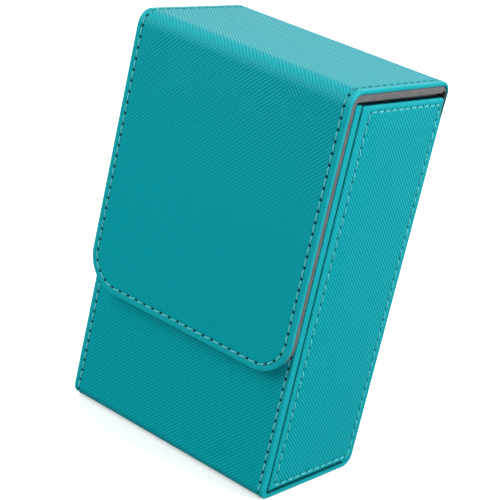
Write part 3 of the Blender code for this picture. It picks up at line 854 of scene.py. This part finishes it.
def side_panel(side, sign):
    b = Build()
    r = 1.5
    at, length, marks, parts = quad_path(SIDE_QUAD, r)
    count = round(length / PITCH)
    holes = np.array([length * i / count for i in range(count)])
    near = np.concatenate([[holes[-1] - length], holes, [length]])
    extra = list(marks)
    for p0, size, kind, *_ in parts:
        if kind == "arc":
            extra += [p0 + size * i / 8 for i in range(9)]
    ts = stations(length, list(holes) + [length], extra, gap=1.6)[:-1]
    y0, y1, z0, z1 = side_lo[1] + 0.05, side_hi[1], side_lo[2] + 0.05, side_hi[2]
    X = side_hi[0]
    rad = 0.55
    insets = [0.95, 1.35]
    cols = []
    for t in ts:
        p, nrm = at(t)
        hit = []
        if nrm[0] > 1e-6:
            hit.append((y1 - p[0]) / nrm[0])
        if nrm[0] < -1e-6:
            hit.append((y0 - p[0]) / nrm[0])
        if nrm[1] > 1e-6:
            hit.append((z1 - 0.45 - 0.006 * p[0] - p[1]) / (nrm[1] + 0.006 * nrm[0]))
        if nrm[1] < -1e-6:
            hit.append((z0 - p[1]) / nrm[1])
        reach = min(hit)
        hd = float(np.min(np.abs(near - t)))
        col = []

        def put(out, depth, amt, pit=0.0, rub_and_highlight=0.0):
            q = p + nrm * out
            return b.add((sign * (X - depth), q[0], q[1]), (q[0], q[1], amt * 1.36), (pit, rub_and_highlight, 0.9))

        upper = max(0.0, float(nrm[1])) ** 2
        col.append(put(reach - 0.92, 0.92, 0.1))
        col.append(put(reach - 0.92, SIDE_T, 0.1))
        # painted shade: the panel's edge flange and rounded rim are darkened where they face the gap to the wrap and
        # the lid, less along the bottom and more along the top
        col.append(put(reach - 0.2, SIDE_T, 0.1, 0.55))
        col.append(put(reach, SIDE_T - 0.2, 0.1, 0.9 - 0.25 * max(0.0, -float(nrm[1])) + 0.09 * upper))
        rd = rad + 0.2 * upper
        for a in (90, 67, 45, 22, 0):
            q = math.radians(a)
            under = max(0.0, -float(nrm[1]))
            gap_shade = {90: 0.8 - 0.4 * under + 0.18 * upper, 67: 0.25 - 0.1 * upper}.get(a, 0.0)
            col.append(put(reach - rd * (1 - math.sin(q)), rd * (1 - math.cos(q)), 0.7, gap_shade, 0.35))
        col.append(put(0.6 + 0.45 * (reach - 1.0 - 0.6), -0.02, 0.75, 0, 0.2))
        for d in SEAM_STEPS:
            # painted shade in the stitch holes, a little lighter on the side panels
            h, pit = surface(d, hd, 0.8, 0.62)
            amt = 0.75 + 0.25 * smoothstep(-d, -0.2, 0.9)
            col.append(put(-d, -h, amt, pit, 0.2 * (1 - smoothstep(d, -0.6, 0.5))))
        col.append(put(-0.95, -0.03, 0.9))
        col.append(put(-1.35, -0.05, 1.0))
        # further in, towards a smaller loop, swelling a little
        for k, (f, lift) in enumerate(((0.12, 0.1), (0.26, 0.16), (0.45, 0.2))):
            q = p + nrm * -1.35
            c = np.array([(SIDE_QUAD[0][0] + SIDE_QUAD[1][0]) / 2, 63.9])
            half_w, half_h = 17.0, 57.0
            target = np.array([c[0] + (q[0] - c[0]) * (1 - f), c[1] + (q[1] - c[1]) * (1 - f * half_w / half_h)])
            col.append(b.add((sign * (X + lift), target[0], target[1]), (target[0], target[1], 1.36), (0, 0, 0.9)))
        cols.append(col)
    n = len(cols[0])
    for i in range(len(cols)):
        a, c = cols[i], cols[(i + 1) % len(cols)]
        for k in range(n - 1):
            b.f.append((a[k], a[k + 1], c[k + 1], c[k]))
    b.f.append(tuple(c[0] for c in cols))
    b.f.append(tuple(c[-1] for c in cols))
    ob = b.make(side + "_side_panel", LEATHER_MAT)
    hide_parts(side + "_side_leather")
    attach(ob, "body")
    return at, holes, length, X


# ---- stitches ---------------------------------------------------------------------------------------
def stitches(name, spans, replaced, body=None, slant=0.12, size=1.0, pale=0.95, dim=0.0):
    """spans: lists of place(s) -> (point, outward, sideways) with the two hole lengths."""
    b = Build()
    sides, steps = 8, 10
    for place, s0, s1 in spans:
        rows = []
        wob = float(rng.normal(0, 0.025))
        for i in range(steps + 1):
            f = i / steps
            s = s0 + (s1 - s0) * (0.1 + 0.8 * f)
            p, out, across = place(s)
            rise = math.sin(math.pi * min(max(f, 0.0), 1.0)) ** 0.42
            lift = -0.52 + rise * 0.6
            on_top = smoothstep(float(p[2]), 126.5, 129.5)
            off = (slant * (1 - on_top) - 0.3 * on_top) * (1 - 2 * f) + wob
            c = p + out * lift + across * off
            # painted shade where the thread dives into its hole
            end_shade = 1 - smoothstep(rise, 0.35, 0.8)
            row = []
            twist = f * (s1 - s0) / 1.15 * math.pi
            for k in range(sides):
                a = math.tau * k / sides
                ply = 0.5 + 0.5 * math.cos(2 * (a - twist))
                rr = THREAD_R * size * (0.84 + 0.2 * ply)
                q = c + across * (math.cos(a) * rr * 1.08) + out * (math.sin(a) * rr * 0.86)
                # painted shade between the plies; pale sets a painted brightness per set of stitches, and on the lid's
                # top the threads are painted darker
                row.append(b.add(q, (s, a, 0), (max(end_shade * 0.9, dim, on_top * (0.8 - 0.72 * smoothstep(f, 0.5, 0.62))), ply * pale * (1 - 0.75 * on_top), 0)))
            rows.append(row)
        for r0, r1 in zip(rows[:-1], rows[1:]):
            b.quad_rows(r0, r1, True)
        b.f.append(tuple(rows[0]))
        b.f.append(tuple(reversed(rows[-1])))
    ob = b.make(name, THREAD_MAT, angle=80)
    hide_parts(*replaced)
    if body:
        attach(ob, body)
    else:
        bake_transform(ob)
    return ob


def strip_place(path, half, seam, sign):
    def place(s):
        (y, z), (ny, nz) = path.at(s)
        x = sign * (half(s) - seam(s))
        return np.array([x, y, z]), np.array([0.0, ny, nz]), np.array([1.0, 0.0, 0.0])
    return place


def pairs(place, holes, longest=5.0):
    return [(place, a, c) for a, c in zip(holes[:-1], holes[1:]) if c - a < longest]


def slab(name, lo, hi, material, body, replaced):
    b = Build()
    for k in range(8):
        b.add((hi[0] if k & 1 else lo[0], hi[1] if k & 2 else lo[1], hi[2] if k & 4 else lo[2]))
    b.f = [(0, 2, 3, 1), (4, 5, 7, 6), (0, 1, 5, 4), (2, 6, 7, 3), (0, 4, 6, 2), (1, 3, 7, 5)]
    ob = b.make(name, material)
    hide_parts(replaced)
    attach(ob, body)


lo, hi = box("bottom_board")
slab("bottom_core", lo + (2.4, 0, 0), hi - (2.4, 0, 0.35), BOARD_MAT, "body", "bottom_board")


def back_ledge():
    """Fabric folded over the top of the back wall, under the closed lid."""
    b = Build()
    outline = []
    for cy, cz, a0 in ((24.55, 119.42, 0), (22.45, 119.42, 90)):
        for i in range(5):
            a = math.radians(a0 + 22.5 * i)
            outline.append((cy + 0.3 * math.cos(a), cz + 0.3 * math.sin(a)))
    outline += [(22.15, 118.9), (22.2, 118.7), (24.8, 118.7), (24.85, 118.9)]
    rows = [[b.add((x, y, z)) for y, z in outline] for x in (-36.5, -36.4, -24.0, -12.0, 0.0, 12.0, 24.0, 36.4, 36.5)]
    for a, c in zip(rows[:-1], rows[1:]):
        b.quad_rows(a, c, True)
    b.f.append(tuple(rows[0]))
    b.f.append(tuple(reversed(rows[-1])))
    ob = b.make("back_top_fabric", LINER_MAT)
    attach(ob, "body")


back_ledge()

for side, sign in (("left", -1), ("right", 1)):
    lo, hi = box(side + "_side_board")
    slab(side + "_side_core", lo + (0, 0.3, 0.7), hi - (0, 0.3, 1.3), BOARD_MAT, "body", side + "_side_board")
    at, holes_s, length_s, X = side_panel(side, sign)

    def side_place(s, at=at, sign=sign, X=X):
        p, nrm = at(s)
        return np.array([sign * X, p[0], p[1]]), np.array([float(sign), 0, 0]), np.array([0.0, nrm[0], nrm[1]])

    loop = list(holes_s) + [length_s]
    stitches("side_stitches_" + side, pairs(side_place, loop), ["side_stitching_" + side], body="body", size=0.84, pale=1.1)
    stitches(
        "wrap_stitches_" + side,
        pairs(strip_place(path1, lambda s: BODY_HALF, lambda s, k=sign: BODY_SEAM if k > 0 else LEFT_SEAM, sign), holes1),
        ["wrap_stitching_" + side], body="body", slant=0.05 * sign,
    )

spans = []
for sign in (-1, 1):
    low = holes2[holes2 < s_crease]
    high = holes2[holes2 > s_crease]
    place = strip_place(path2, half2, seam2 if sign > 0 else left2, sign)
    spans += pairs(place, low) + pairs(place, high)
stitches("back_and_lid_stitches", spans, ["lid_stitching_left", "lid_stitching_right"], size=0.9, pale=0.4)

spans = []
for sign in (-1, 1):
    spans += pairs(strip_place(path3, lambda s: LID_HALF, lambda s: LID_SEAM, sign), holes3a)


def flap_place(t):
    (x, z), (ox, oz) = ring3(t)
    return np.array([x, Y_FLAP, z]), np.array([0.0, -1.0, 0.0]), np.array([ox, 0.0, oz])


spans += pairs(flap_place, holes3b)
stitches("lid_and_flap_stitches", spans, ["flap_stitching"])


# ---- carried-over nodes: boards, linings, magnets ------------------------------------------------------
for name, ob in nodes.items():
    if ob.hide_render:
        continue
    if "board" in name:
        mat = BOARD_MAT
    elif "magnet" in name:
        mat = MAGNET_MAT
    else:
        mat = LINER_MAT
    if not ob.material_slots:
        ob.data.materials.append(mat)
    for slot in ob.material_slots:
        slot.material = mat
    if "lining" in name or "board" in name:
        soft = ob.modifiers.new("soft_edge", "BEVEL")
        soft.width = 0.00018 if "lining" in name else 0.0001
        soft.segments = 2
        soft.limit_method = "ANGLE"
        soft.angle_limit = math.radians(50)

# ---- light and camera ---------------------------------------------------------------------
world = bpy.data.worlds.new("studio")
bpy.context.scene.world = world
world.use_nodes = True
wt = world.node_tree
bg = wt.nodes["Background"]
wc = wt.nodes.new("ShaderNodeTexCoord")
dot = wt.nodes.new("ShaderNodeVectorMath")
dot.operation = "DOT_PRODUCT"
wt.links.new(wc.outputs["Generated"], dot.inputs[0])
dot.inputs[1].default_value = (-0.53, 0.78, 0.33)
glow = wt.nodes.new("ShaderNodeMapRange")
glow.interpolation_type = "SMOOTHSTEP"
wt.links.new(dot.outputs["Value"], glow.inputs["Value"])
glow.inputs["From Min"].default_value = 0.3
glow.inputs["From Max"].default_value = 0.92
glow.inputs["To Min"].default_value = 0.07
glow.inputs["To Max"].default_value = 1.18
seen = wt.nodes.new("ShaderNodeLightPath")
pick = wt.nodes.new("ShaderNodeMix")
pick.data_type = "FLOAT"
wt.links.new(seen.outputs["Is Camera Ray"], pick.inputs["Factor"])
wt.links.new(glow.outputs["Result"], pick.inputs["A"])
pick.inputs["B"].default_value = 1.0
wt.links.new(pick.outputs["Result"], bg.inputs["Strength"])
bg.inputs["Color"].default_value = (1.0, 1.0, 1.0, 1.0)


def softbox(name, location, target, size, watts):
    light = bpy.data.lights.new(name, "AREA")
    light.shape = "RECTANGLE"
    light.size, light.size_y = size
    light.energy = watts
    ob = bpy.data.objects.new(name, light)
    ob.location = location
    d = Vector(target) - Vector(location)
    ob.rotation_mode = "QUATERNION"
    ob.rotation_quaternion = d.to_track_quat("-Z", "Y")
    bpy.context.scene.collection.objects.link(ob)
    return ob


MIDDLE = Vector((0.0, 0.0, 0.065))


def placed(name, direction, distance, size, watts):
    d = Vector(direction).normalized()
    softbox(name, MIDDLE + d * distance, MIDDLE, (size, size), watts)


placed("front_left_box", (-0.45, -0.68, 0.58), 0.9, 0.85, 7.8)
placed("back_right_box", (0.8, 0.3, 0.5), 0.9, 0.4, 9.9)
placed("overhead_box", (-0.1, 0.25, 1.0), 0.9, 0.6, 1.1)
placed("fill_box", (0.4, -0.85, -0.12), 1.0, 0.6, 4.0)

# a plain pale floor just under the box: it catches a soft shadow, and it is clear from below
floor_mesh = bpy.data.meshes.new("floor")
floor_mesh.from_pydata([(-6, -6, -0.0005), (6, -6, -0.0005), (6, 6, -0.0005), (-6, 6, -0.0005)], [], [(0, 1, 2, 3)])
floor = bpy.data.objects.new("floor", floor_mesh)
bpy.context.scene.collection.objects.link(floor)
floor_mat = bpy.data.materials.new("pale_floor")
floor_mat.use_nodes = True
ft = floor_mat.node_tree
fb = ft.nodes["Principled BSDF"]
fb.inputs["Base Color"].default_value = (0.86, 0.86, 0.86, 1.0)
fb.inputs["Roughness"].default_value = 0.9
fb.inputs["Specular IOR Level"].default_value = 0.0
fb.inputs["Emission Color"].default_value = (1.0, 1.0, 1.0, 1.0)
# painted light: the floor glows, more strongly away from the box, so the floor runs into the white background
fw = ft.nodes.new("ShaderNodeTexCoord")
far = ft.nodes.new("ShaderNodeVectorMath")
far.operation = "LENGTH"
ft.links.new(fw.outputs["Object"], far.inputs[0])
fade = ft.nodes.new("ShaderNodeMapRange")
fade.interpolation_type = "SMOOTHSTEP"
ft.links.new(far.outputs["Value"], fade.inputs["Value"])
fade.inputs["From Min"].default_value = 0.15
fade.inputs["From Max"].default_value = 0.8
fade.inputs["To Min"].default_value = 0.44
fade.inputs["To Max"].default_value = 1.0
ft.links.new(fade.outputs["Result"], fb.inputs["Emission Strength"])
under = ft.nodes.new("ShaderNodeNewGeometry")
clear = ft.nodes.new("ShaderNodeBsdfTransparent")
either = ft.nodes.new("ShaderNodeMixShader")
ft.links.new(under.outputs["Backfacing"], either.inputs["Fac"])
ft.links.new(fb.outputs["BSDF"], either.inputs[1])
ft.links.new(clear.outputs["BSDF"], either.inputs[2])
ft.links.new(either.outputs["Shader"], ft.nodes["Material Output"].inputs["Surface"])
floor.data.materials.append(floor_mat)
# the floor is only seen: the low fill light passes it, and it throws no colour back on the box
floor.visible_shadow = False
floor.visible_diffuse = False
floor.visible_glossy = False
floor.visible_transmission = False

cam_data = bpy.data.cameras.new("camera")
cam = bpy.data.objects.new("camera", cam_data)
bpy.context.scene.collection.objects.link(cam)
cam_data.sensor_width = 36.0
cam_data.lens = 1648.995 / 500.0 * 36.0
cam_data.clip_start, cam_data.clip_end = 0.01, 20.0
# right, up and back directions of the camera, which is tipped 12 degrees
RIGHT = Vector((0.763202, 0.60989, 0.213442))
UP = Vector((-0.365266, 0.13473, 0.921102))
BACKWARD = Vector((0.533014, -0.78095, 0.325598))
turn = Matrix((RIGHT, UP, BACKWARD)).transposed().to_4x4()
cam.matrix_world = Matrix.Translation((0.275682, -0.402996, 0.23184)) @ turn
cam_data.dof.use_dof = False
bpy.context.scene.camera = cam
bpy.context.scene.view_settings.view_transform = "Standard"
bpy.context.scene.view_settings.look = "None"

bpy.context.view_layer.update()
